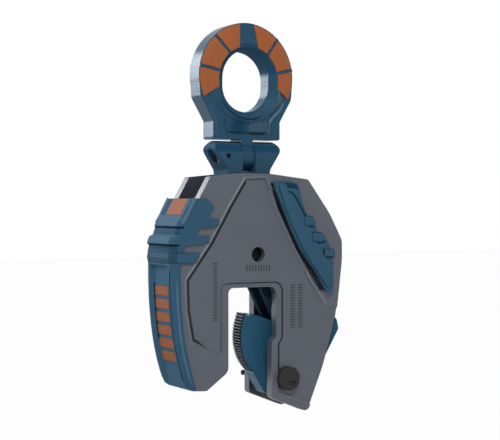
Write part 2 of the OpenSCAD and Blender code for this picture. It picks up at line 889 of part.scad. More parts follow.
// Edge bumper: stations down the back edge give its flat back and the depth of its side bevels
bumper_stations = [
  [-28, -80.1, 2.8], [-34, -83.5, 3], [-40.5, -87.2, 3.2], [-48, -91.4, 3.6], [-50.5, -92.8, 4], [-54, -95.8, 4],
  [-58, -97.3, 4], [-60.6, -96.5, 4], [-64, -98.2, 4.2], [-68, -99.4, 4.2], [-70, -103.8, 4.2],
  [-74, -105.9, 4.2], [-77.5, -106.9, 4.2], [-80, -104.3, 4.2], [-86, -105.6, 4.2], [-93, -106.9, 4.2],
  [-99, -105.5, 4.2], [-120, -105.2, 4.2], [-140, -104.5, 4.2], [-153, -103.5, 4.2], [-167, -102.1, 4.2],
  [-180, -100.3, 4.2], [-194, -97.8, 4.2], [-207.5, -94.7, 4.2], [-221, -90.8, 4.2], [-228, -88.3, 4.2],
  [-235, -84.4, 3.8], [-238.4, -79, 3]
];
cheek_y = outer_y + cheek_t;
finger_reach = -44;

function bumper_ring(s) =
  let (z = s[0], x = s[1], b = s[2])
  [
    [finger_reach, -cheek_y, z], [x + b * 1.15, -cheek_y, z], [x + b * 0.72, -cheek_y + b * 0.35, z],
    [x + b * 0.14, -cheek_y + b * 1.4, z], [x, -cheek_y + b * 1.9, z],
    [x, cheek_y - b * 1.9, z], [x + b * 0.14, cheek_y - b * 1.4, z],
    [x + b * 0.72, cheek_y - b * 0.35, z], [x + b * 1.15, cheek_y, z], [finger_reach, cheek_y, z]
  ];

// Solid through closed rings of points, the highest ring first
module loft(rings) {
  m = len(rings[0]);
  n = len(rings);
  walls = [for (i = [0:n - 2]) for (k = [0:m - 1])
    let (a = i * m + k, b = i * m + (k + 1) % m)
    each [[a, b + m, b], [a, a + m, b + m]]];
  caps = [[for (k = [0:m - 1]) k], [for (k = [m - 1:-1:0]) (n - 1) * m + k]];
  polyhedron(points = [for (r = rings) each r], faces = concat(walls, caps), convexity = 8);
}

module bumper_outer() {
  loft([for (s = bumper_stations) bumper_ring(s)]);
}

// Cheek on the plates' faces, with four fingers at the top
cheek_corners = [
  [-76, -28, 0], [-61.5, -28.5, 1], [-53, -38, 1], [-60.5, -46.5, 1], [-60.5, -49.5, 0.6], [-47.3, -50.7, 1.5],
  [-47.8, -56, 1.5], [-53, -59.8, 1.5], [-71, -60.5, 3], [-78.5, -68.5, 1.5], [-59.5, -69.4, 1.5],
  [-59.3, -74.8, 1.5], [-66.5, -78.4, 2], [-88.5, -79.2, 2], [-93, -87, 1.5], [-70.5, -87.8, 1.5],
  [-75, -96, 1.5], [-79.5, -98.4, 2], [-94.8, -99.4, 2], [-94.8, -117, 20], [-93.5, -149, 40],
  [-90.4, -178, 40], [-85.2, -204, 40], [-80.5, -221, 20], [-76.2, -235.5, 3], [-74, -241, 0],
  [-80, -241, 0], [-94, -205, 0], [-101, -150, 0], [-100, -85, 0], [-80, -35, 0]
];

module edge_bumper() {
  channel_y = outer_y + seat_gap / 2;
  color(blue)
    in_body()
      difference() {
        intersection() {
          bumper_outer();
          union() {
            slab(-cheek_y - past, cheek_y + past)
              polygon(concat(
                [for (s = bumper_stations) [s[1] - past, s[0]]],
                [[-75, -241], [-75, -238.6]],
                [for (i = [len(left_edge) - 1:-1:0]) left_edge[i]]
              ));
            for (side = [0, 1])
              mirror([0, side, 0])
                slab(outer_y, cheek_y + past) polygon(outline(cheek_corners));
          }
        }
        slab(-channel_y, channel_y)
          polygon(concat(
            [[finger_reach - past, -28 + past], [finger_reach - past, -250], [-73.3, -250], [-73.3, -238.9]],
            [for (i = [len(left_edge) - 1:-1:0]) [left_edge[i][0] - seat_gap, left_edge[i][1]]],
            [[left_edge[0][0] - seat_gap, -28 + past]]
          ));
        bar_channel();
        top_channel();
        bars(0.1);
        top_insert(0.1);
      }
}

bar_first = 129.6;
bar_last = 202.2;
bar_h = 10.6;
channel_in = 3.9;
bar_in = 3.5;
insert_in = 2.3;
insert_top = -28.3;
insert_low = -46;
bar_thick = 2.4;
bar_pitch = (bar_last - bar_first) / (bar_count - 1);
function lerp_x(z, i = 0) =
  z >= bumper_stations[i + 1][0] || i >= len(bumper_stations) - 2
    ? let (a = bumper_stations[i], b = bumper_stations[i + 1])
      a[1] + (b[1] - a[1]) * (z - a[0]) / (b[0] - a[0])
    : lerp_x(z, i + 1);

// Shallow channel with sloped sides in the bumper's back, through stations of height and depth
module back_channel(stations, floor_half, top_half) {
  loft([for (p = stations)
    let (x = lerp_x(p[0]), lip = x + min(p[1], -0.6), wall = x - 3)
    [[x + p[1], -floor_half, p[0]], [lip, -top_half, p[0]], [wall, -top_half, p[0]],
     [wall, top_half, p[0]], [lip, top_half, p[0]], [x + p[1], floor_half, p[0]]]]);
}

module bar_channel() {
  top = -103;
  low = -bar_last - bar_h / 2 - 8;
  steps = 10;
  back_channel(
    concat(
      [[top + 2.6, -0.8]],
      [for (i = [0:steps]) [top + (low - top) * i / steps, channel_in]],
      [[low - 9, channel_in * 0.7], [low - 17, channel_in * 0.25], [low - 21, -0.8]]
    ),
    bar_w / 2 + 0.4, cheek_y - 9
  );
}

module top_channel() {
  back_channel(
    [[insert_top + 3, insert_in + 0.3], [insert_low, insert_in + 0.3], [insert_low - 0.8, -0.8]],
    bar_w / 2 + 1.6, cheek_y - 7.4
  );
}

module bars(grow) {
  for (i = [0:bar_count - 1]) {
    mid = -bar_first - i * bar_pitch;
    top = mid + bar_h / 2;
    low = mid - bar_h / 2;
    lean = (lerp_x(low) - lerp_x(top)) / (low - top);
    x_top = lerp_x(top) + lean * grow;
    x_low = lerp_x(low) - lean * grow;
    slab(-bar_w / 2 - grow, bar_w / 2 + grow)
      polygon([
        [x_top + bar_in - grow, top + grow], [x_low + bar_in - grow, low - grow],
        [x_low + bar_in + bar_thick + grow, low - grow], [x_top + bar_in + bar_thick + grow, top + grow]
      ]);
  }
}

module top_insert(grow) {
  top = insert_top;
  low = insert_low;
  half = bar_w / 2 + 1.2 + grow;
  lean = (lerp_x(low) - lerp_x(top)) / (low - top);
  x_top = lerp_x(top) + lean * grow;
  x_low = lerp_x(low) - lean * grow;
  slab(-half, half)
    polygon([
      [x_top + insert_in - grow, top + grow], [x_low + insert_in - grow, low - grow],
      [x_low + insert_in + 2.4 + grow, low - grow], [x_top + insert_in + 2.4 + grow, top + grow]
    ]);
}

module bumper_bars() {
  color(orange)
    in_body()
      bars(0);
}

module bumper_top_insert() {
  color(orange)
    in_body()
      top_insert(0);
}

lifting_eye();
eye_inserts_front();
eye_inserts_back();
coupling_block();
hinge_pin();
hinge_roll_pin();
front_side_plate();
back_side_plate();
jaw_block();
upper_spacer();
middle_spacer();
right_spacer();
edge_bumper();
bumper_bars();
bumper_top_insert();
jaw_pad();
jaw_pad_ring();
jaw_cam();
cam_pin();
cam_washers();
cam_roll_pin();
link_front();
link_back();
upper_link_pin();
lower_link_pin();
link_pin_rings();
lever_arm();
lever_grip();
lever_shaft();
lock_eccentric();
lock_spring();
lever_back_ring();
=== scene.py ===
import math

import bpy
from mathutils import Euler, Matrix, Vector


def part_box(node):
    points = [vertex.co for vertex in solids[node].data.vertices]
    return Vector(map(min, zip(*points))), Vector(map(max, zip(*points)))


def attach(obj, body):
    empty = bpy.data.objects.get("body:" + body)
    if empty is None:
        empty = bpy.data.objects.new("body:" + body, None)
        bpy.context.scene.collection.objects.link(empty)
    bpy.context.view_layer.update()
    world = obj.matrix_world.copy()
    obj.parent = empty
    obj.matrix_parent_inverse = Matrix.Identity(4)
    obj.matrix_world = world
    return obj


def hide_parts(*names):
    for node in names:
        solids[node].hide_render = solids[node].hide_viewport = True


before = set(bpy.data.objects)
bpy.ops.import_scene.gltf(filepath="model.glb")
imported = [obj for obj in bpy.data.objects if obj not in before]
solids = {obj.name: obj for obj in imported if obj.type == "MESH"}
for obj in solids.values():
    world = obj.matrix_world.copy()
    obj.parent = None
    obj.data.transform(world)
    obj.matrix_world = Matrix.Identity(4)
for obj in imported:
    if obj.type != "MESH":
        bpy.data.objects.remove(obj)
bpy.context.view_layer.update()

scene = bpy.context.scene


def clear_selection():
    """Deselects everything, since an operator acts on all that is selected."""
    bpy.ops.object.select_all(action="DESELECT")


def pick(piece):
    """Selects one piece and makes it the active one."""
    clear_selection()
    piece.select_set(True)
    bpy.context.view_layer.objects.active = piece


def from_photo(red, green, blue):
    """A colour given in screen values from 0 to 255, as linear values with full cover."""
    def straight(value):
        value /= 255
        return value / 12.92 if value <= 0.04045 else ((value + 0.055) / 1.055) ** 2.4
    return (straight(red), straight(green), straight(blue), 1.0)


# Camera

bpy.ops.object.camera_add(
    location=(-0.7332, -1.2888, -0.1431),
    rotation=(math.radians(90), 0, math.radians(-30)),
)
camera = bpy.context.object
camera.name = "photo_camera"
camera.data.sensor_width = 36
camera.data.lens = 93.6
camera.data.shift_y = -0.034
camera.data.clip_start = 0.01
camera.data.clip_end = 60
scene.camera = camera

# Node groups shared by the materials


def new_group(name, inputs, outputs):
    """An empty shader group with its sockets: inputs are (name, kind, value), outputs (name, kind)."""
    group = bpy.data.node_groups.new(name, "ShaderNodeTree")
    for label, kind, value in inputs:
        socket = group.interface.new_socket(name=label, in_out="INPUT", socket_type=kind)
        socket.default_value = value
    for label, kind in outputs:
        group.interface.new_socket(name=label, in_out="OUTPUT", socket_type=kind)
    return group, group.nodes.new("NodeGroupInput"), group.nodes.new("NodeGroupOutput")


def math_node(tree, operation, first, second, clamp=False):
    """A Math node; first and second are sockets or numbers."""
    node = tree.nodes.new("ShaderNodeMath")
    node.operation = operation
    node.use_clamp = clamp
    for socket, value in zip(node.inputs, (first, second)):
        if isinstance(value, (int, float)):
            socket.default_value = value
        else:
            tree.links.new(value, socket)
    return node.outputs[0]


def noise_node(tree, vector, scale, detail, roughness):
    """Noise on the given place; the scale is a socket or a number."""
    node = tree.nodes.new("ShaderNodeTexNoise")
    tree.links.new(vector, node.inputs["Vector"])
    if isinstance(scale, (int, float)):
        node.inputs["Scale"].default_value = scale
    else:
        tree.links.new(scale, node.inputs["Scale"])
    node.inputs["Detail"].default_value = detail
    node.inputs["Roughness"].default_value = roughness
    return node.outputs["Fac"]


def make_grain_group():
    """Grain of a cast or moulded skin: its height, and a slow tone that goes with it."""
    group, given, put = new_group(
        "skin_grain",
        [("Size", "NodeSocketFloat", 900.0), ("Lumps", "NodeSocketFloat", 0.4)],
        [("Height", "NodeSocketFloat"), ("Tone", "NodeSocketFloat")],
    )
    place = group.nodes.new("ShaderNodeTexCoord").outputs["Object"]
    fine = noise_node(group, place, given.outputs["Size"], 4.0, 0.6)
    coarse_size = math_node(group, "MULTIPLY", given.outputs["Size"], 0.17)
    coarse = noise_node(group, place, coarse_size, 2.0, 0.5)
    lumps = math_node(group, "MULTIPLY", coarse, given.outputs["Lumps"])
    height = math_node(group, "ADD", fine, lumps)
    group.links.new(height, put.inputs["Height"])
    tone = noise_node(group, place, 14.0, 3.0, 0.55)
    group.links.new(tone, put.inputs["Tone"])
    return group


def make_edge_group():
    """Mask of the outer edges, broken up by noise, and the surface's normal with its edges eased."""
    group, given, put = new_group(
        "eased_edges",
        [("Radius", "NodeSocketFloat", 0.0008), ("Breakup", "NodeSocketFloat", 60.0)],
        [("Mask", "NodeSocketFloat"), ("Normal", "NodeSocketVector")],
    )
    ease = group.nodes.new("ShaderNodeBevel")
    ease.samples = 6
    group.links.new(given.outputs["Radius"], ease.inputs["Radius"])
    facing = group.nodes.new("ShaderNodeNewGeometry")
    turn = group.nodes.new("ShaderNodeVectorMath")
    turn.operation = "DOT_PRODUCT"
    group.links.new(ease.outputs["Normal"], turn.inputs[0])
    group.links.new(facing.outputs["True Normal"], turn.inputs[1])
    bend = math_node(group, "SUBTRACT", 1.0, turn.outputs["Value"])
    sharpness = 7.0
    strong = math_node(group, "MULTIPLY", bend, sharpness, clamp=True)
    place = group.nodes.new("ShaderNodeTexCoord").outputs["Object"]
    patches = noise_node(group, place, given.outputs["Breakup"], 4.0, 0.65)
    worn = group.nodes.new("ShaderNodeMapRange")
    worn.inputs["From Min"].default_value = 0.42
    worn.inputs["From Max"].default_value = 0.68
    group.links.new(patches, worn.inputs["Value"])
    mask = math_node(group, "MULTIPLY", strong, worn.outputs["Result"], clamp=True)
    group.links.new(mask, put.inputs["Mask"])
    group.links.new(ease.outputs["Normal"], put.inputs["Normal"])
    return group


def make_lay_group():
    """Fine turning or grinding lines across one direction of the piece."""
    group, given, put = new_group(
        "machining_lines",
        [("Stretch", "NodeSocketVector", (1.0, 1.0, 30.0)), ("Size", "NodeSocketFloat", 260.0)],
        [("Height", "NodeSocketFloat")],
    )
    place = group.nodes.new("ShaderNodeTexCoord").outputs["Object"]
    pull = group.nodes.new("ShaderNodeVectorMath")
    pull.operation = "MULTIPLY"
    group.links.new(place, pull.inputs[0])
    group.links.new(given.outputs["Stretch"], pull.inputs[1])
    lines = noise_node(group, pull.outputs["Vector"], given.outputs["Size"], 4.0, 0.7)
    group.links.new(lines, put.inputs["Height"])
    return group


skin_grain = make_grain_group()
eased_edges = make_edge_group()
machining_lines = make_lay_group()


def place_group(tree, group, **values):
    """One of the shared groups in a material, with its own values."""
    node = tree.nodes.new("ShaderNodeGroup")
    node.node_tree = group
    for label, value in values.items():
        node.inputs[label].default_value = value
    return node


def mix_colour(tree, factor, first, second, blend="MIX"):
    """A Mix node for colours; factor, first and second are sockets or values."""
    node = tree.nodes.new("ShaderNodeMix")
    node.data_type = "RGBA"
    node.blend_type = blend
    first_colour, second_colour = node.inputs[6], node.inputs[7]
    for socket, value in ((node.inputs["Factor"], factor), (first_colour, first), (second_colour, second)):
        if isinstance(value, (int, float, tuple)):
            socket.default_value = value
        else:
            tree.links.new(value, socket)
    mixed_colour = node.outputs[2]
    return mixed_colour


def spread(tree, value, low, high):
    """The value from 0.3 to 0.7 spread between low and high."""
    node = tree.nodes.new("ShaderNodeMapRange")
    node.inputs["From Min"].default_value = 0.3
    node.inputs["From Max"].default_value = 0.7
    node.inputs["To Min"].default_value = low
    node.inputs["To Max"].default_value = high
    tree.links.new(value, node.inputs["Value"])
    return node.outputs["Result"]


def ramp(tree, value, start, end, low, high):
    """The value from start to end, eased between low and high."""
    node = tree.nodes.new("ShaderNodeMapRange")
    node.interpolation_type = "SMOOTHSTEP"
    for label, number in (("From Min", start), ("From Max", end), ("To Min", low), ("To Max", high)):
        node.inputs[label].default_value = number
    tree.links.new(value, node.inputs["Value"])
    return node.outputs["Result"]


def scaled(colour, share):
    """A colour made darker or lighter by a share."""
    return tuple(value * share for value in colour[:3]) + (1.0,)


def new_material(name):
    """An empty material, its node tree and its shader."""
    material = bpy.data.materials.new(name)
    material.use_nodes = True
    return material, material.node_tree, material.node_tree.nodes["Principled BSDF"]


def raise_relief(tree, shader, height, eased_normal, strength, depth):
    """Fine relief, with its depth in metres, on a surface whose edges are eased."""
    relief = tree.nodes.new("ShaderNodeBump")
    relief.inputs["Strength"].default_value = strength
    relief.inputs["Distance"].default_value = depth
    tree.links.new(height, relief.inputs["Height"])
    tree.links.new(eased_normal, relief.inputs["Normal"])
    tree.links.new(relief.outputs["Normal"], shader.inputs["Normal"])


def make_skin(name, colour, dark, light, grain, lumps, bump, rough, *, specular,
              edge=None, edge_share=0.0, radius=0.0008):
    """A painted, cast or moulded skin: tone that drifts between dark and light, grain, and paler edges.

    Grain is how fine the grain is, lumps the share of coarser lumps in it and bump its strength.
    Rough gives the lowest and the highest roughness, and radius, in metres, how wide the edges are.
    """
    material, tree, shader = new_material(name)
    skin = place_group(tree, skin_grain, Size=grain, Lumps=lumps)
    ease = place_group(tree, eased_edges, Radius=radius)
    drift = spread(tree, skin.outputs["Tone"], 0.0, 1.0)
    toned = mix_colour(tree, drift, scaled(colour, dark), scaled(colour, light))
    if edge:
        share = math_node(tree, "MULTIPLY", ease.outputs["Mask"], edge_share, clamp=True)
        toned = mix_colour(tree, share, toned, edge)
    tree.links.new(toned, shader.inputs["Base Color"])
    tree.links.new(spread(tree, skin.outputs["Tone"], rough[0], rough[1]), shader.inputs["Roughness"])
    raise_relief(tree, shader, skin.outputs["Height"], ease.outputs["Normal"], bump, 0.0003)
    shader.inputs["Specular IOR Level"].default_value = specular
    return material


def make_turned(name, colour, rough, stretch):
    """Bare metal with turning lines, drawn out as much along each axis as stretch says."""
    material, tree, shader = new_material(name)
    lines = place_group(tree, machining_lines, Stretch=stretch, Size=260.0)
    ease = place_group(tree, eased_edges, Radius=0.0005)
    skin = place_group(tree, skin_grain, Size=500.0, Lumps=0.2)
    drift = spread(tree, skin.outputs["Tone"], 0.0, 1.0)
    tree.links.new(mix_colour(tree, drift, scaled(colour, 0.82), colour), shader.inputs["Base Color"])
    tree.links.new(spread(tree, lines.outputs["Height"], rough[0], rough[1]), shader.inputs["Roughness"])
    raise_relief(tree, shader, lines.outputs["Height"], ease.outputs["Normal"], 0.25, 0.0001)
    shader.inputs["Metallic"].default_value = 1.0
    return material


plate_paint = make_skin(
    "plate_paint", from_photo(88, 93, 104), 0.93, 1.06, 1500.0, 0.5, 0.22, (0.34, 0.44),
    edge=from_photo(150, 153, 158), edge_share=0.45, radius=0.001, specular=0.6)
blue_paint = make_skin(
    "blue_paint", from_photo(36, 79, 106), 0.92, 1.07, 700.0, 0.9, 0.12, (0.24, 0.32),
    edge=from_photo(88, 118, 140), edge_share=0.35, radius=0.0012, specular=0.2)
blue_moulding = make_skin(
    "blue_moulding", from_photo(57, 96, 121), 0.94, 1.05, 2200.0, 0.2, 0.16, (0.66, 0.76),
    edge=from_photo(92, 124, 142), edge_share=0.35, radius=0.0007, specular=0.12)
orange_moulding = make_skin(
    "orange_moulding", from_photo(172, 98, 56), 0.93, 1.05, 1700.0, 0.3, 0.18, (0.5, 0.6),
    edge=from_photo(206, 150, 112), edge_share=0.5, radius=0.0007, specular=0.2)
orange_rubber = make_skin(
    "orange_rubber", from_photo(152, 87, 51), 0.92, 1.06, 1900.0, 0.3, 0.2, (0.62, 0.74),
    edge=from_photo(176, 120, 84), edge_share=0.3, radius=0.0006, specular=0.18)
coupling_paint = make_skin(
    "coupling_paint", from_photo(54, 88, 112), 0.9, 1.08, 620.0, 1.0, 0.16, (0.6, 0.72),
    edge=from_photo(88, 112, 134), edge_share=0.3, radius=0.0014, specular=0.08)
cam_paint = make_skin(
    "cam_paint", from_photo(44, 92, 120), 0.9, 1.08, 700.0, 0.8, 0.12, (0.32, 0.44),
    edge=from_photo(96, 122, 142), edge_share=0.35, radius=0.001, specular=0.15)
# The links' blue darkened as painted shade, for parts that sit deep between the plates
link_shade_paint = make_skin(
    "link_shade_paint", from_photo(22, 48, 64), 0.9, 1.1, 900.0, 0.6, 0.12, (0.6, 0.75),
    edge=from_photo(70, 92, 108), edge_share=0.3, radius=0.0008, specular=0.08)
# Dark grey painted shade for the sloped walls of the plates' panels and of the slot
panel_shade_grey = make_skin(
    "panel_shade_grey", from_photo(58, 61, 69), 0.8, 1.15, 1600.0, 0.5, 0.15, (0.75, 0.88), specular=0.03)
# Dark blue painted shade for creases, grooves and steps on the bumper and the ring
crease_shade_blue = make_skin(
    "crease_shade_blue", from_photo(20, 42, 58), 0.85, 1.12, 1600.0, 0.4, 0.12, (0.75, 0.88), specular=0.03)
# Dark teal painted shade for the gaps round the grip's tabs, its thumb rest and its rim
grip_shade_teal = make_skin(
    "grip_shade_teal", from_photo(34, 64, 84), 0.88, 1.1, 1600.0, 0.4, 0.12, (0.75, 0.88), specular=0.03)
# Darker blue painted shade for the bumper's faint grooves and the bands under its fingers
undercut_shade_blue = make_skin(
    "undercut_shade_blue", from_photo(46, 80, 104), 0.94, 1.05, 2200.0, 0.2, 0.16, (0.7, 0.8), specular=0.08)
# Pale grey painted highlight for the crests along the panels' borders and foot
crest_highlight_grey = make_skin(
    "crest_highlight_grey", from_photo(108, 112, 121), 0.85, 1.12, 1500.0, 0.5, 0.2, (0.34, 0.46), specular=0.4)
# Paler blues as painted highlights on the ring's dish edge, foot edge and foot pad
dish_highlight_blue = make_skin(
    "dish_highlight_blue", from_photo(74, 104, 128), 0.88, 1.08, 700.0, 0.8, 0.12, (0.3, 0.42), specular=0.3)
foot_highlight_blue = make_skin(
    "foot_highlight_blue", from_photo(52, 86, 110), 0.92, 1.08, 700.0, 0.9, 0.12, (0.3, 0.42),
    edge=from_photo(88, 116, 138), edge_share=0.4, radius=0.0008, specular=0.25)
# Pale painted highlight for the crest where the panel's border runs out
run_out_highlight_grey = make_skin(
    "run_out_highlight_grey", from_photo(158, 162, 170), 0.85, 1.1, 1500.0, 0.5, 0.2, (0.34, 0.46), specular=0.5)
scale_paint = make_skin(
    "scale_paint", from_photo(72, 76, 85), 0.9, 1.1, 1500.0, 0.5, 0.2, (0.5, 0.6), specular=0.2)
# Paler blue painted highlight for the beads along the bumper's corners
bead_highlight_blue = make_skin(
    "bead_highlight_blue", from_photo(84, 116, 138), 0.92, 1.06, 2200.0, 0.2, 0.16, (0.6, 0.7), specular=0.2)
# Dark grey for the jaw block, made dark as painted shade between the plates
jaw_paint = make_skin(
    "jaw_paint", from_photo(42, 46, 55), 0.92, 1.08, 1300.0, 0.5, 0.2, (0.5, 0.62),
    edge=from_photo(108, 112, 120), edge_share=0.4, radius=0.001, specular=0.15)
# Near black for the upper spacer, made dark as painted shade between the plates
dark_paint = make_skin(
    "dark_paint", from_photo(12, 14, 20), 0.9, 1.1, 1200.0, 0.5, 0.2, (0.6, 0.75), specular=0.05)
pin_black = make_skin(
    "pin_black", from_photo(52, 52, 55), 0.9, 1.12, 1100.0, 0.5, 0.2, (0.45, 0.6),
    edge=from_photo(104, 104, 108), edge_share=0.4, radius=0.0008, specular=0.15)
black_oxide = make_skin(
    "black_oxide", from_photo(38, 38, 40), 0.85, 1.15, 1200.0, 0.4, 0.18, (0.5, 0.65),
    edge=from_photo(96, 96, 98), edge_share=0.35, radius=0.0007, specular=0.1)
turned_steel = make_turned("turned_steel", from_photo(168, 170, 174), (0.26, 0.42), (1.0, 30.0, 1.0))
ground_steel = make_turned("ground_steel", from_photo(150, 152, 156), (0.3, 0.46), (30.0, 1.0, 1.0))


# Places where a skin's colour differs from the rest of it, mostly by painted highlights and painted shade


def place_on(tree):
    """The X, Y and Z of a point on its piece, in metres."""
    split = tree.nodes.new("ShaderNodeSeparateXYZ")
    tree.links.new(tree.nodes.new("ShaderNodeTexCoord").outputs["Object"], split.inputs["Vector"])
    return split.outputs


def length_of(tree, along, across):
    """The length of a step that goes so far along and so far across."""
    squares = [math_node(tree, "MULTIPLY", value, value) for value in (along, across)]
    return math_node(tree, "SQRT", math_node(tree, "ADD", *squares), 0.0)


def between(tree, place, bounds):
    """1 in the space between bounds, each (axis, low, high) in metres, and 0 outside it."""
    inside = 1.0
    for axis, low, high in bounds:
        over = math_node(tree, "GREATER_THAN", place[axis], low)
        under = math_node(tree, "LESS_THAN", place[axis], high)
        inside = math_node(tree, "MULTIPLY", inside, math_node(tree, "MULTIPLY", over, under))
    return inside


def colour_of(tree):
    """What a skin's colour comes from so far."""
    return tree.nodes["Principled BSDF"].inputs["Base Color"].links[0].from_socket


def paint_where(tree, mask, colour):
    """Puts another colour on a skin where its mask is 1."""
    base_colour = tree.nodes["Principled BSDF"].inputs["Base Color"]
    tree.links.new(mix_colour(tree, mask, colour_of(tree), colour), base_colour)


def tint_where(tree, mask, tint):
    """Multiplies a skin's colour by a tint where its mask is 1."""
    paint_where(tree, mask, mix_colour(tree, 1.0, colour_of(tree), tint, "MULTIPLY"))


def darken_between(material, share, bounds):
    """Multiplies a skin's colour by a share in the space between bounds."""
    tree = material.node_tree
    tint_where(tree, between(tree, place_on(tree), bounds), (share, share, share, 1.0))


def bare_teeth(material):
    """Paints the cam's toothed edge as bare steel, with a painted highlight on the tips and painted shade
    in the valleys.

    The teeth stand on a spiral round the cam pin, so the depth below their tips comes from the
    distance and the direction of each point from the pin.
    """
    pin_x, pin_z = 0.0416, -0.342
    first_tooth, sweep = math.radians(120.5), math.radians(47.8)
    first_radius, radius_lost = 0.0862, 0.0526
    tree = material.node_tree
    place = place_on(tree)
    across = math_node(tree, "SUBTRACT", place["X"], pin_x)
    above = math_node(tree, "SUBTRACT", place["Z"], pin_z)
    angle = math_node(tree, "ARCTAN2", above, across)
    along = math_node(tree, "DIVIDE", math_node(tree, "SUBTRACT", angle, first_tooth), sweep)
    tips = math_node(tree, "SUBTRACT", first_radius, math_node(tree, "MULTIPLY", along, radius_lost))
    below_tips = math_node(tree, "SUBTRACT", tips, length_of(tree, across, above))
    above_roots = ramp(tree, below_tips, 0.0023, 0.0028, 1.0, 0.0)
    past_first = ramp(tree, along, -0.12, -0.06, 0.0, 1.0)
    before_last = ramp(tree, along, 1.0, 1.04, 1.0, 0.0)
    steel = math_node(tree, "MULTIPLY", above_roots, math_node(tree, "MULTIPLY", past_first, before_last))
    valley = ramp(tree, below_tips, 0.0003, 0.001, 0.0, 1.0)
    # Pale tips as painted highlights, black valleys as painted shade
    paint_where(tree, steel, mix_colour(tree, valley, from_photo(160, 176, 192), from_photo(8, 12, 18)))


def shade_ring(material):
    """Dulls the upper and the left wall of the ring's hole, and paints shade into the dish below the hole.
    """
    hole_rise, mouth_radius = 0.01, 0.0377
    dish_x, dish_half_width = -0.0127, 0.018
    dish_z, dish_half_height = -0.057, 0.015
    tree = material.node_tree
    place = place_on(tree)
    # The hole is two half rounds with a straight stretch of hole_rise between them
    over_upper = math_node(tree, "MAXIMUM", place["Z"], 0.0)
    under_lower = math_node(tree, "MINIMUM", math_node(tree, "ADD", place["Z"], hole_rise), 0.0)
    off_axis = length_of(tree, place["X"], math_node(tree, "ADD", over_upper, under_lower))
    walls = math_node(tree, "LESS_THAN", off_axis, mouth_radius)
    upper = ramp(tree, place["Z"], 0.002, 0.008, 0.0, 1.0)
    left = math_node(tree, "LESS_THAN", place["X"], -0.002)
    dull = math_node(tree, "MULTIPLY", walls, math_node(tree, "MAXIMUM", upper, left))
    aside = math_node(tree, "DIVIDE", math_node(tree, "SUBTRACT", place["X"], dish_x), dish_half_width)
    above = math_node(tree, "DIVIDE", math_node(tree, "SUBTRACT", place["Z"], dish_z), dish_half_height)
    dish = ramp(tree, length_of(tree, aside, above), 0.3, 1.0, 1.0, 0.0)
    # Painted shade in the dish below the hole
    tint_where(tree, dish, (0.45, 0.7, 0.75, 1.0))
    matt = math_node(tree, "MULTIPLY", math_node(tree, "MAXIMUM", dull, dish), 0.95)
    roughness = tree.nodes["Principled BSDF"].inputs["Roughness"]
    satin = roughness.links[0].from_socket
    tree.links.new(math_node(tree, "MAXIMUM", satin, matt), roughness)


def paint_hinge_shade(material):
    """Paints shade into a skin's colour in a band across the hinge, just under the top of the coupling."""
    tree = material.node_tree
    height = place_on(tree)["Z"]
    above_foot = ramp(tree, height, -0.0875, -0.0835, 0.0, 1.0)
    below_top = ramp(tree, height, -0.078, -0.0768, 1.0, 0.0)
    tint_where(tree, math_node(tree, "MULTIPLY", above_foot, below_top), (0.3, 0.72, 0.85, 1.0))


finishes = {
    "lifting_eye": blue_paint,
    "eye_inserts_front": orange_moulding,
    "eye_inserts_back": orange_moulding,
    "coupling_block": coupling_paint,
    "hinge_pin": turned_steel,
    "hinge_roll_pin": black_oxide,
    "front_side_plate": plate_paint,
    "back_side_plate": plate_paint,
    "jaw_block": jaw_paint,
    "upper_spacer": dark_paint,
    "middle_spacer": plate_paint,
    "right_spacer": plate_paint,
    "edge_bumper": blue_moulding,
    "bumper_bars": orange_rubber,
    "bumper_top_insert": orange_rubber,
    "jaw_pad": ground_steel,
    "jaw_pad_ring": black_oxide,
    "jaw_cam": cam_paint,
    "cam_pin": pin_black,
    "cam_washers": turned_steel,
    "cam_roll_pin": black_oxide,
    "link_front": link_shade_paint,
    "link_back": link_shade_paint,
    "upper_link_pin": black_oxide,
    "lower_link_pin": turned_steel,
    "link_pin_rings": black_oxide,
    "lever_arm": black_oxide,
    "lever_grip": blue_moulding,
    "lever_shaft": turned_steel,
    "lock_eccentric": turned_steel,
    "lock_spring": turned_steel,
    "lever_back_ring": black_oxide,
}
bare_teeth(cam_paint)
# Painted shade on the plates' inner faces, which face each other across the gap between the plates
plates_inner_faces = [("Y", -0.0202, 0.0202)]
darken_between(plate_paint, 0.4, plates_inner_faces)
# Painted shade on the back of the bumper's third finger
third_finger_back = [("X", -0.12, -0.099), ("Z", -0.2078, -0.1977)]
darken_between(blue_moulding, 0.68, third_finger_back)
shade_ring(blue_paint)
# Painted shade in a band across the hinge
paint_hinge_shade(blue_paint)
paint_hinge_shade(coupling_paint)
for name, material in finishes.items():
    solid = solids[name]
    solid.data.materials.clear()
    solid.data.materials.append(material)

# Pieces modelled here


def edit(piece, mode="FACE"):
    """Opens one piece for editing, with faces, edges or vertices to be selected."""
    pick(piece)
    bpy.ops.object.mode_set(mode="EDIT")
    bpy.ops.mesh.select_mode(type=mode)


def done():
    """Closes the piece that is open for editing."""
    bpy.ops.object.mode_set(mode="OBJECT")


def copy_of(name, new_name):
    """A copy of a CAD node with its own mesh, its triangles joined and its flat faces made whole."""
    piece = solids[name].copy()
    piece.data = solids[name].data.copy()
    piece.name = new_name
    piece.parent = None
    scene.collection.objects.link(piece)
    edit(piece, "VERT")
    bpy.ops.mesh.select_all(action="SELECT")
    bpy.ops.mesh.remove_doubles(threshold=0.000004)
    bpy.ops.mesh.dissolve_limited(angle_limit=math.radians(0.3))
    done()
    return piece


def finish_piece(piece, material, body, smooth=35):
    """Gives a piece its finish, soft or sharp edges by angle, and the body that it rides on."""
    piece.data.materials.clear()
    piece.data.materials.append(material)
    pick(piece)
    bpy.ops.object.shade_smooth_by_angle(angle=math.radians(smooth))
    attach(piece, body)


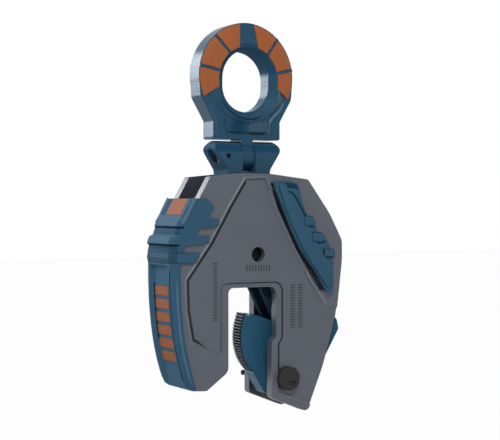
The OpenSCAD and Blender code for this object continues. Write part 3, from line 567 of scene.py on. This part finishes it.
def rounded(corners, steps=6):
    """Points along an open line whose corners are given in millimetres as (x, z, radius)."""
    points = [Vector((c[0], 0, c[1])) for c in corners]
    line = [points[0]]
    for i in range(1, len(corners) - 1):
        here = points[i]
        to_last = (points[i - 1] - here).normalized()
        to_next = (points[i + 1] - here).normalized()
        bend = to_last.angle(to_next)
        radius = corners[i][2]
        nearly_straight = math.radians(178)
        if radius <= 0 or bend > nearly_straight:
            line.append(here)
            continue
        reach = radius / math.tan(bend / 2)
        centre = here + (to_last + to_next).normalized() * radius / math.sin(bend / 2)
        start = here + to_last * reach - centre
        turn = start.angle(here + to_next * reach - centre)
        way = 1 if start.cross(here + to_next * reach - centre).y > 0 else -1
        for k in range(steps + 1):
            swung = start.copy()
            swung.rotate(Euler((0, way * turn * k / steps, 0)))
            line.append(centre + swung)
    line.append(points[-1])
    return [point / 1000 for point in line]


def pull_through(name, stations):
    """A solid drawn through its stations, each a ring of points, by one extrusion to each in turn."""
    count = len(stations[0])
    clear_selection()
    bpy.ops.mesh.primitive_circle_add(vertices=count, radius=0.001, fill_type="NGON")
    piece = bpy.context.object
    piece.name = name
    for vertex, spot in zip(piece.data.vertices, stations[0]):
        vertex.co = spot
    edit(piece)
    bpy.ops.mesh.select_all(action="SELECT")
    for before, after in zip(stations, stations[1:]):
        step = after[0] - before[0]
        bpy.ops.mesh.extrude_region_move(TRANSFORM_OT_translate={"value": step})
        done()
        for vertex in piece.data.vertices:
            if vertex.select:
                nearest = min(range(count), key=lambda i: (before[i] + step - vertex.co).length)
                vertex.co = after[nearest]
        bpy.ops.object.mode_set(mode="EDIT")
    bpy.ops.mesh.select_all(action="SELECT")
    bpy.ops.mesh.normals_make_consistent(inside=False)
    done()
    return piece


def lay_line(name, line, outs, profile, fade=(0.0, 0.0), widen=0.0):
    """A strip laid along a line of points in metres, each with the direction that faces out there.

    The profile's points are (to the right of the way it runs, outwards) in millimetres. Fade gives
    the length in millimetres over which each end thins out, and widen how much wider the strip is
    where it runs upright.
    """
    shortest_step, sharpest_mitre, thinnest, narrowest = 0.5, 0.5, 0.03, 0.25
    line = list(line)
    outs = list(outs)
    lengths = [0.0]
    for before, after in zip(line, line[1:]):
        lengths.append(lengths[-1] + (after - before).length * 1000)
    for far in (fade[0], lengths[-1] - fade[1]):
        i = max(k for k, length in enumerate(lengths) if length <= far)
        if far < lengths[-1] and far - lengths[i] > shortest_step:
            share = (far - lengths[i]) / (lengths[i + 1] - lengths[i])
            line.insert(i + 1, line[i].lerp(line[i + 1], share))
            outs.insert(i + 1, outs[i].lerp(outs[i + 1], share))
            lengths.insert(i + 1, far)
    low = min(out for across, out in profile)
    stations = []
    for i, (point, out_way) in enumerate(zip(line, outs)):
        ahead = (line[min(i + 1, len(line) - 1)] - point).normalized()
        behind = (point - line[max(i - 1, 0)]).normalized()
        way = (ahead + behind).normalized()
        right = way.cross(out_way).normalized()
        mitre = max(sharpest_mitre, (ahead if ahead.length else behind).dot(way))
        stretch = (1.0 + widen * abs(way.z)) / mitre
        full = 1.0
        if fade[0]:
            full = min(full, lengths[i] / fade[0])
        if fade[1]:
            full = min(full, (lengths[-1] - lengths[i]) / fade[1])
        full = max(full, thinnest)
        width = stretch * (narrowest + (1 - narrowest) * full)
        stations.append([point + right * across * width / 1000
                         + out_way * (low + (out - low) * full) / 1000 for across, out in profile])
    return pull_through(name, stations)


def lay_strip(name, corners, profile, side, fade=(0.0, 0.0), widen=0.0):
    """A strip along corners (x, z, radius) in a plate's plane, its heights from the middle plane."""
    line = rounded(corners)
    outs = [Vector((0, side, 0))] * len(line)
    seen_from_side = [(-side * across, out) for across, out in profile]
    return lay_line(name, line, outs, seen_from_side, fade, widen)


def raise_pad(name, corners, low, high, bevel, grow=0.0):
    """A pad with rounded corners (x, z, radius) that stands from y = low out to y = high.

    Its outer edge has a bevel, and grow says how far it reaches beyond its corners.
    """
    first, last = corners[0], corners[-1]
    start = ((first[0] + last[0]) / 2, (first[1] + last[1]) / 2, 0)
    line = rounded([start] + list(corners) + [start], steps=4)[:-1]
    centre = sum(line, Vector()) / len(line)

    def level(y, inwards):
        ring = []
        for i, point in enumerate(line):
            way = (line[(i + 1) % len(line)] - line[i - 1]).normalized()
            side_way = Vector((way.z, 0, -way.x))
            if side_way.dot(centre - point) < 0:
                side_way.negate()
            spot = point + side_way * inwards / 1000
            ring.append(Vector((spot.x, y / 1000, spot.z)))
        return ring

    step = bevel if high > low else -bevel
    return pull_through(name, [level(low, -grow), level(high - step, -grow), level(high, bevel - grow)])


def slice_of(name, new_name, low, high, reach, swell):
    """A thin slice of a CAD node between two heights, as far to the right as its reach, all in metres.

    It is swollen a little, so that it shows as a line round the node.
    """
    piece = copy_of(name, new_name)
    edit(piece, "VERT")
    up, down, right = (0, 0, 1), (0, 0, -1), (1, 0, 0)
    for spot, normal in (((0, 0, high), up), ((0, 0, low), down), ((reach, 0, 0), right)):
        bpy.ops.mesh.select_all(action="SELECT")
        bpy.ops.mesh.bisect(plane_co=spot, plane_no=normal, use_fill=True, clear_outer=True)
    bpy.ops.mesh.select_all(action="SELECT")
    bpy.ops.transform.shrink_fatten(value=swell)
    done()
    return piece


both_faces = (("front", -1), ("back", 1))
# Height of the clamp body's own zero, which its corners below are measured from, in millimetres
body_top = -110.0


def on_body(corners):
    """Corners (x, z, radius) that are measured from the clamp body's own zero."""
    return [(x, z + body_top, r) for x, z, r in corners]


# Sloped walls of the plates' sunken panels, with a low crest along the border. The dark slopes carry
# painted shade, and the pale crests and the run-out a painted highlight. The plates' faces
# lie 31 mm from the middle plane, and the panels' floors 29 mm.
panel_left = on_body([
    (-59, -195, 0), (-80.5, -184, 4), (-86.5, -150, 20), (-87.5, -117, 4), (-57.5, -77, 10),
    (-32, -34, 10), (-13, -5.5, 2), (14, -4.2, 4), (21.4, -19, 0)])
panel_right = on_body([
    (21.4, -19, 0), (27.4, -36.5, 4), (40.9, -62, 20), (54.4, -87.5, 20), (67.9, -108.5, 10),
    (94.4, -150, 0)])
panel_slot = on_body([
    (-41, -123.9, 0), (33.6, -123.9, 9), (33.6, -185.5, 3), (28.9, -192, 3), (29, -247.5, 0)])
panel_foot = on_body([(29, -246.5, 0), (29.6, -247.8, 0), (59.7, -259.3, 20), (70.5, -263.3, 0)])
panel_top = on_body([(-13, -5.5, 0), (14, -4.2, 4), (21.4, -19, 0)])
panel_edge = on_body([(90.5, -149.0, 0), (109.4, -154.0, 0)])
panel_run_out = on_body([(66.5, -110.5, 0), (73.5, -121.5, 60), (95.2, -150, 0)])
crest = [(-1.9, 30.4), (-1.9, 31.03), (-0.1, 31.9), (0.7, 31.6), (0.7, 30.4)]
crest_slope = [(0.5, 30.2), (0.5, 31.6), (3.4, 29.04), (3.4, 28.6), (0.5, 28.6)]
top_slope = [(0.5, 30.2), (0.5, 31.5), (2.4, 29.04), (2.4, 28.6), (0.5, 28.6)]
flush = [(-0.4, 30.4), (-0.3, 31.0), (0.3, 30.96), (3.2, 29.02), (3.2, 28.6), (-0.4, 28.6)]
small_crest = [(-0.9, 30.4), (-0.9, 31.03), (-0.1, 32.1), (0.7, 31.0), (0.7, 30.4)]
edge_wedge = [(-0.3, 30.4), (-0.3, 31.0), (14, 29.03), (14, 28.6), (0, 28.6)]
foot_crest = [(1.0, 30.4), (1.0, 31.03), (0.1, 31.6), (-0.8, 31.0), (-1.6, 29.0), (-1.6, 28.6), (0.4, 28.6)]
slot_crest = [(1.2, 30.6), (1.2, 31.03), (0.0, 31.3), (-0.6, 31.1), (-0.6, 30.6)]
slot_slope = [(-0.25, 30.2), (-0.25, 31.2), (-1.8, 29.04), (-1.8, 28.6), (-0.25, 28.6)]
for face, side in both_faces:
    for name, corners, profile, fade, widen, paint in (
            ("panel_crest_", panel_left, crest, (14, 0), 0, crest_highlight_grey),
            ("panel_slope_", panel_left[:-2], crest_slope, (16, 3), 0.5, panel_shade_grey),
            ("panel_top_slope_", panel_top, top_slope, (0, 0), 0, plate_paint),
            ("panel_wall_right_", panel_right, flush, (0, 0), 0, plate_paint),
            ("panel_run_out_", panel_run_out, small_crest, (6, 1), 0, run_out_highlight_grey),
            ("panel_edge_wedge_", panel_edge, edge_wedge, (4.5, 0), 0, plate_paint),
            ("panel_foot_", panel_foot, foot_crest, (0, 4), 0, crest_highlight_grey),
            ("slot_crest_", panel_slot, slot_crest, (8, 0), 0, plate_paint),
            ("slot_slope_", panel_slot, slot_slope, (8, 6), 1.1, panel_shade_grey)):
        strip = lay_strip(name + face, corners, profile, side, fade, widen)
        finish_piece(strip, paint, "clamp_body", 30)

# Raised bars on the front panel's floor: a plain scale in place of words
# The bars are a darker grey as painted shade, in place of the shade round raised letters
bar_foot, bar_top = -28.9, -29.45
for name, x, z, long, tall, count, step in (
        ("scale_bars_hole", -10.5, -102.5, 1.3, 7.0, 9, (3.7, 0)),
        ("scale_bars_left", -52.5, -99.0, 5.0, 1.2, 22, (0, -3.0)),
        ("scale_bars_right", 47.5, -126.0, 6.0, 1.2, 17, (0, -3.0)),
        ("scale_bars_right_edge", 57.5, -126.0, 6.0, 1.2, 17, (0, -3.0))):
    corners = [(x, z, 0.4), (x + long, z, 0.4), (x + long, z - tall, 0.4), (x, z - tall, 0.4)]
    bar = raise_pad(name, on_body(corners), bar_foot, bar_top, bevel=0.2)
    pick(bar)
    row = bar.modifiers.new("row", "ARRAY")
    row.use_relative_offset = False
    row.use_constant_offset = True
    row.constant_offset_displace = (step[0] / 1000, 0, step[1] / 1000)
    row.count = count
    bpy.ops.object.modifier_apply(modifier="row")
    finish_piece(bar, scale_paint, "clamp_body", 30)

# The lever's grip. Its front face goes back, which leaves room for the tabs, and the left border
# of its lower layer goes right, which widens the gap beside it.
grip_border = [(-12, 25), (-36.5, 33.5), (-60.5, 44.5), (-84.5, 57.5), (-106, 73), (-130, 91)]
raised_layer = 6.6 * 0.45
set_back = 0.9
border_shift = 2.2
border_low, border_high = -131, -14


def grip_left(height):
    """Where the left border of the grip's raised face stands at a height on the body, in millimetres."""
    for (top, x_top), (low, x_low) in zip(grip_border, grip_border[1:]):
        if height >= low:
            return x_top + (x_low - x_top) * (top - height) / (top - low)
    return grip_border[-1][1]


grip_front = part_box("lever_grip")[0][1] * 1000
grip_step = grip_front + raised_layer
grip = copy_of("lever_grip", "grip_moulding")
for vertex in grip.data.vertices:
    x, y, z = vertex.co * 1000
    if y < grip_front + 0.05:
        vertex.co.y += set_back / 1000
    elif y > grip_step - 0.1:
        height = z - body_top
        if border_low < height < border_high and x < grip_left(height) + 0.5:
            vertex.co.x += border_shift / 1000
pick(grip)
edge_round = grip.modifiers.new("edge_round", "BEVEL")
edge_round.width = 0.0006
edge_round.segments = 3
edge_round.limit_method = "ANGLE"
edge_round.angle_limit = math.radians(40)
bpy.ops.object.modifier_apply(modifier="edge_round")
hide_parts("lever_grip")
finish_piece(grip, blue_moulding, "lever", 40)
grip_front += set_back

# Finger tabs, thumb rest and rim of the grip. The gaps round the tabs, the thumb rest and the rim's shade
# line are dark as painted shade.
for name, corners in (
        ("first", [(59.2, -48.6, 1.5), (68.6, -48.2, 1.5), (73.8, -55.5, 1.5), (72.4, -59.0, 1.2),
                   (60.0, -58.4, 1.5)]),
        ("second", [(69.8, -67.4, 1.5), (83.0, -67.6, 1.8), (88.6, -75.4, 1.2), (84.0, -77.4, 2),
                    (71.0, -76.4, 2.2)]),
        ("third", [(86.4, -86.2, 1.5), (99.4, -86.6, 1.5), (100.2, -94.6, 1.2), (87.4, -94.4, 1.5)])):
    corners = on_body(corners)
    gap = raise_pad("grip_tab_gap_" + name, corners, grip_step + 1, grip_front - 0.12, bevel=0.1, grow=0.75)
    finish_piece(gap, grip_shade_teal, "lever")
    tab = raise_pad("grip_tab_" + name, corners, grip_step + 1, grip_front - 0.9, bevel=0.6)
    finish_piece(tab, blue_moulding, "lever", 40)
rest_corners = on_body([
    (34, -10.6, 1), (44, -11.0, 1), (50.6, -13.4, 1.2), (51.2, -16.4, 1), (36.5, -16.4, 1.5)])
rest = raise_pad("grip_thumb_rest", rest_corners, grip_step + 0.5, grip_front - 0.14, bevel=0.1)
finish_piece(rest, grip_shade_teal, "lever")
rim_line = on_body([(30.5, -19.2, 0), (41.5, -20.2, 5), (49, -28.5, 12), (56.5, -41, 12), (62.5, -50.5, 0)])
bead_line = [(x + 1.9, z + 1.2, r) for x, z, r in rim_line]
for name, corners, profile, paint, smooth in (
        ("grip_rim_shade", rim_line, [(-1.3, -0.6), (-1.3, 0.05), (1.3, 0.12), (1.3, -0.6)], grip_shade_teal, 35),
        ("grip_rim_bead", bead_line, [(-0.9, -0.5), (-0.7, 0.3), (0.1, 0.6), (0.9, 0.2), (1.0, -0.5)],
         blue_moulding, 60)):
    on_grip = [(across, out - grip_front) for across, out in profile]
    rim = lay_strip(name, corners, on_grip, -1, (8, 4))
    finish_piece(rim, paint, "lever", smooth)

# Undercut lines and bands round the edge bumper, dark as painted shade
for name, low, high, reach, swell, paint in (
        ("groove_first", -60.8, -58.7, -91.5, 0.18, crease_shade_blue),
        ("groove_second", -79.9, -78.0, -96.8, 0.18, crease_shade_blue),
        ("groove_third", -87.6, -86.4, -60, 0.18, undercut_shade_blue),
        ("groove_fourth", -98.9, -97.9, -60, 0.18, undercut_shade_blue),
        ("undercut_first", -67.2, -60.6, -95, 0.08, undercut_shade_blue),
        ("undercut_second", -86.5, -79.7, -99, 0.08, undercut_shade_blue)):
    groove = slice_of("edge_bumper", "bumper_" + name, (low + body_top) / 1000, (high + body_top) / 1000,
                      reach / 1000, swell / 1000)
    finish_piece(groove, paint, "clamp_body")

# Beads and creases along the bumper's corners, the beads pale as painted highlights and the creases dark as
# painted shade. A station is (height, place of the bumper's back, width of its corner there).
bumper_face = -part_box("edge_bumper")[0][1] * 1000
bumper_edge = [
    (-28, -80.1, 2.8), (-34, -83.5, 3), (-40.5, -87.2, 3.2), (-48, -91.4, 3.6), (-54, -95.8, 4),
    (-57.5, -97.0, 4)]
bumper_low = [
    (-101, -105.4, 4.2), (-120, -105.2, 4.2), (-140, -104.5, 4.2), (-153, -103.5, 4.2), (-167, -102.1, 4.2),
    (-180, -100.3, 4.2), (-194, -97.8, 4.2), (-207.5, -94.7, 4.2), (-221, -90.8, 4.2), (-228, -88.3, 4.2),
    (-235, -84.4, 3.8)]


def along_bumper(stations, deep, wide, side):
    """Points down the bumper, set in from its back and its cheek by so many of its corner's widths."""
    return [Vector((x + b * deep, side * (bumper_face - b * wide), z + body_top)) / 1000
            for z, x, b in stations]


for face, side in both_faces:
    for name, stations, deep, wide, lean, profile, paint, fade in (
            ("upper_bead_", bumper_edge, 0.95, 0.18, 0.45,
             [(-2.3, -1.0), (-1.9, 0.4), (0, 0.9), (1.9, 0.4), (2.3, -1.0)], bead_highlight_blue, (0, 3)),
            ("lower_bead_", bumper_low, 1.35, -0.02, 0.2,
             [(-1.3, -0.8), (-1.0, 0.4), (0, 0.8), (1.0, 0.4), (1.3, -0.8)], bead_highlight_blue, (30, 12)),
            ("back_crease_", bumper_low, 0.06, 1.66, 0.8,
             [(-0.6, -0.6), (-0.5, 0.1), (0.5, 0.1), (0.6, -0.6)], crease_shade_blue, (6, 10))):
        line = along_bumper(stations, deep, wide, side)
        out_way = Vector((-lean, side * (1 - lean), 0)).normalized()
        bead = lay_line("bumper_" + name + face, line, [out_way] * len(line), profile, fade)
        finish_piece(bead, paint, "clamp_body", 50)

# Line of painted shade down each side of the row of bars, where the bumper's back steps in
step_in, row_side = 3.2, 17.6
bar_row = [
    (-119, -105.2), (-126, -105.0), (-140, -104.5), (-153, -103.5), (-167, -102.1), (-180, -100.3),
    (-187, -99.0)]
for face, side in both_faces:
    line = [Vector((x + step_in, side * row_side, z + body_top)) / 1000 for z, x in bar_row]
    edge_line = lay_line("bar_edge_line_" + face, line, [Vector((-1, 0, 0))] * len(line),
                         [(-0.7, -1.2), (-0.7, 0.3), (0.7, 0.3), (0.7, -1.2)], (4, 4))
    finish_piece(edge_line, crease_shade_blue, "clamp_body")

# Arcs of the ring's dish, on both faces; the inner arc is dark as painted shade
ring_lip = -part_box("lifting_eye")[0][1] * 1000
dish_middle = -9
arc_steps = 24
for face, side in both_faces:
    for name, radius, start, end, level, profile, paint in (
            ("inner_arc_", 39.4, 196, 300, 0.1,
             [(-0.7, -0.6), (-0.5, 0.15), (0.5, 0.15), (0.7, -0.6)], crease_shade_blue),
            ("outer_arc_", 43.6, 196, 326, -1.7,
             [(-1.1, -0.8), (-0.6, 0.35), (0.3, 0.5), (1.1, -0.8)], blue_paint)):
        line = []
        for k in range(arc_steps + 1):
            turn = math.radians(start + (end - start) * k / arc_steps)
            x, z = radius * math.cos(turn), dish_middle + radius * math.sin(turn)
            line.append(Vector((x, side * (ring_lip + level), z)) / 1000)
        arc = lay_line("ring_" + name + face, line, [Vector((0, side, 0))] * len(line), profile, (10, 10))
        finish_piece(arc, paint, "eye", 50)

# Edges of the ring's dish and foot, and the pad on its foot, paler as painted highlights, and a groove
# under the pad, dark as painted shade, on both faces
dish_edge = [
    (50.0, -24.0, 0), (47.1, -31.5, 20), (41.7, -38.6, 30), (33.7, -45.8, 12), (28.4, -52.5, 5),
    (27.2, -66.0, 0)]
foot_edge = [(-50.6, -27.4, 0), (-46.5, -37.2, 20), (-40.6, -49.2, 20), (-39.4, -58, 12), (-39.4, -69.4, 0)]
dish_bead = [(-2.4, 11.4), (-2.1, 12.7), (-0.8, 13.9), (0.6, 13.9), (1.9, 12.7), (2.2, 11.4)]
foot_bead = [(-1.8, 11.4), (-1.5, 12.3), (0, 12.8), (1.5, 12.3), (1.8, 11.4)]
pad_highlight = [
    (3.8, -50.4, 2), (24.4, -49.8, 2), (26.6, -53.2, 2), (25.6, -62.4, 1.5), (1.6, -62.8, 1.5),
    (1.4, -57.5, 4)]
pad_groove = [(3.0, -64.3, 0.5), (22.5, -64.0, 0.5), (22.5, -65.4, 0.5), (3.0, -65.7, 0.5)]
for face, side in both_faces:
    for name, corners, profile, fade, paint in (
            ("dish_edge_", dish_edge, dish_bead, (16, 5), dish_highlight_blue),
            ("foot_edge_", foot_edge, foot_bead, (10, 6), foot_highlight_blue)):
        strip = lay_strip("ring_" + name + face, corners, profile, side, fade)
        finish_piece(strip, paint, "eye", 50)
    pad = raise_pad("ring_rubbed_pad_" + face, pad_highlight, side * 13.4, side * 14.3, bevel=0.3)
    finish_piece(pad, foot_highlight_blue, "eye", 40)
    groove = raise_pad("ring_pad_groove_" + face, pad_groove, side * 11.6, side * 12.12, bevel=0.05)
    finish_piece(groove, crease_shade_blue, "eye")

# Weld beads where the round spacer meets the plates
spacer_x, spacer_z, spacer_radius = 0.101, -0.198, 0.009
plate_inner_face = 0.02
ripples = (1.0, 1.12, 0.9)
weld_steps = 72
bead_across = ((0.4, -0.6), (0.4, 2.5), (-1.0, 1.5), (-2.5, 0.4), (-2.7, -0.6))
for face, side in both_faces:
    line = []
    outs = []
    for k in range(weld_steps + 1):
        turn = math.radians(k * 360 / weld_steps)
        away = Vector((math.cos(turn), 0, math.sin(turn)))
        line.append(Vector((spacer_x, side * plate_inner_face, spacer_z)) + away * spacer_radius)
        outs.append(away * ripples[k % 3])
    profile = [(side * across, out) for across, out in bead_across]
    weld = lay_line("spacer_weld_" + face, line, outs, profile)
    finish_piece(weld, plate_paint, "clamp_body", 60)

# Floor, lamps and world


def background_share(tree):
    """1 for rays that show the background, seen, mirrored or through glass, and 0 for the rest."""
    path = tree.nodes.new("ShaderNodeLightPath")
    seen = math_node(tree, "MAXIMUM", path.outputs["Is Camera Ray"], path.outputs["Is Glossy Ray"])
    return math_node(tree, "MAXIMUM", seen, path.outputs["Is Transmission Ray"])


bpy.ops.mesh.primitive_plane_add(size=14, location=(0, 0, -0.52))
floor = bpy.context.object
floor.name = "pale_floor"
floor_paint, tree, shader = new_material("pale_floor")
shader.inputs["Base Color"].default_value = (0.6, 0.6, 0.6, 1)
shader.inputs["Roughness"].default_value = 0.9
shader.inputs["Specular IOR Level"].default_value = 0.1
glow = tree.nodes.new("ShaderNodeEmission")
glow.inputs["Color"].default_value = (1, 1, 1, 1)
glow.inputs["Strength"].default_value = 1.0
blend_floor = tree.nodes.new("ShaderNodeMixShader")
seen = math_node(tree, "MULTIPLY", background_share(tree), 0.97)
tree.links.new(seen, blend_floor.inputs["Fac"])
tree.links.new(shader.outputs["BSDF"], blend_floor.inputs[1])
tree.links.new(glow.outputs["Emission"], blend_floor.inputs[2])
tree.links.new(blend_floor.outputs["Shader"], tree.nodes["Material Output"].inputs["Surface"])
floor.data.materials.append(floor_paint)

world = bpy.data.worlds.new("studio")
scene.world = world
world.use_nodes = True
tree = world.node_tree
for node in list(tree.nodes):
    tree.nodes.remove(node)
out = tree.nodes.new("ShaderNodeOutputWorld")
direction = tree.nodes.new("ShaderNodeTexCoord").outputs["Generated"]
split = tree.nodes.new("ShaderNodeSeparateXYZ")
tree.links.new(direction, split.inputs["Vector"])
# Soft sky above the horizon and behind, dim below it
up = ramp(tree, split.outputs["Z"], -0.16, 0.12, 0.08, 1.0)
back = ramp(tree, split.outputs["Y"], -0.35, 0.65, 0.10, 0.8)
level = math_node(tree, "MULTIPLY", up, back)
studio = tree.nodes.new("ShaderNodeBackground")
studio.inputs["Color"].default_value = (0.97, 0.985, 1.0, 1)
tree.links.new(level, studio.inputs["Strength"])
backdrop = tree.nodes.new("ShaderNodeBackground")
backdrop.inputs["Color"].default_value = (1, 1, 1, 1)
backdrop.inputs["Strength"].default_value = 1.0
either = tree.nodes.new("ShaderNodeMixShader")
tree.links.new(background_share(tree), either.inputs["Fac"])
tree.links.new(studio.outputs["Background"], either.inputs[1])
tree.links.new(backdrop.outputs["Background"], either.inputs[2])
tree.links.new(either.outputs["Shader"], out.inputs["Surface"])


def add_softbox(name, spot, target, power, size, tint):
    """A square soft lamp at its spot, turned to its target and not seen by the camera."""
    bpy.ops.object.light_add(type="AREA", location=spot)
    lamp = bpy.context.object
    lamp.name = name
    lamp.data.energy = power
    lamp.data.size = size
    lamp.data.color = tint
    lamp.visible_camera = False
    lamp.rotation_euler = (Vector(target) - Vector(spot)).to_track_quat("-Z", "Y").to_euler()


middle = (0.0, 0.0, -0.16)
add_softbox("key_softbox", (-0.9, -1.8, 1.5), middle, 37.0, 0.7, (1.0, 1.0, 1.0))
add_softbox("fill_softbox", (2.3, -0.5, 0.3), middle, 5.0, 1.2, (1.0, 1.0, 1.0))
add_softbox("edge_softbox", (-0.92, 1.9, 0.45), middle, 28.0, 1.0, (0.88, 0.94, 1.0))

scene.view_settings.view_transform = "Standard"
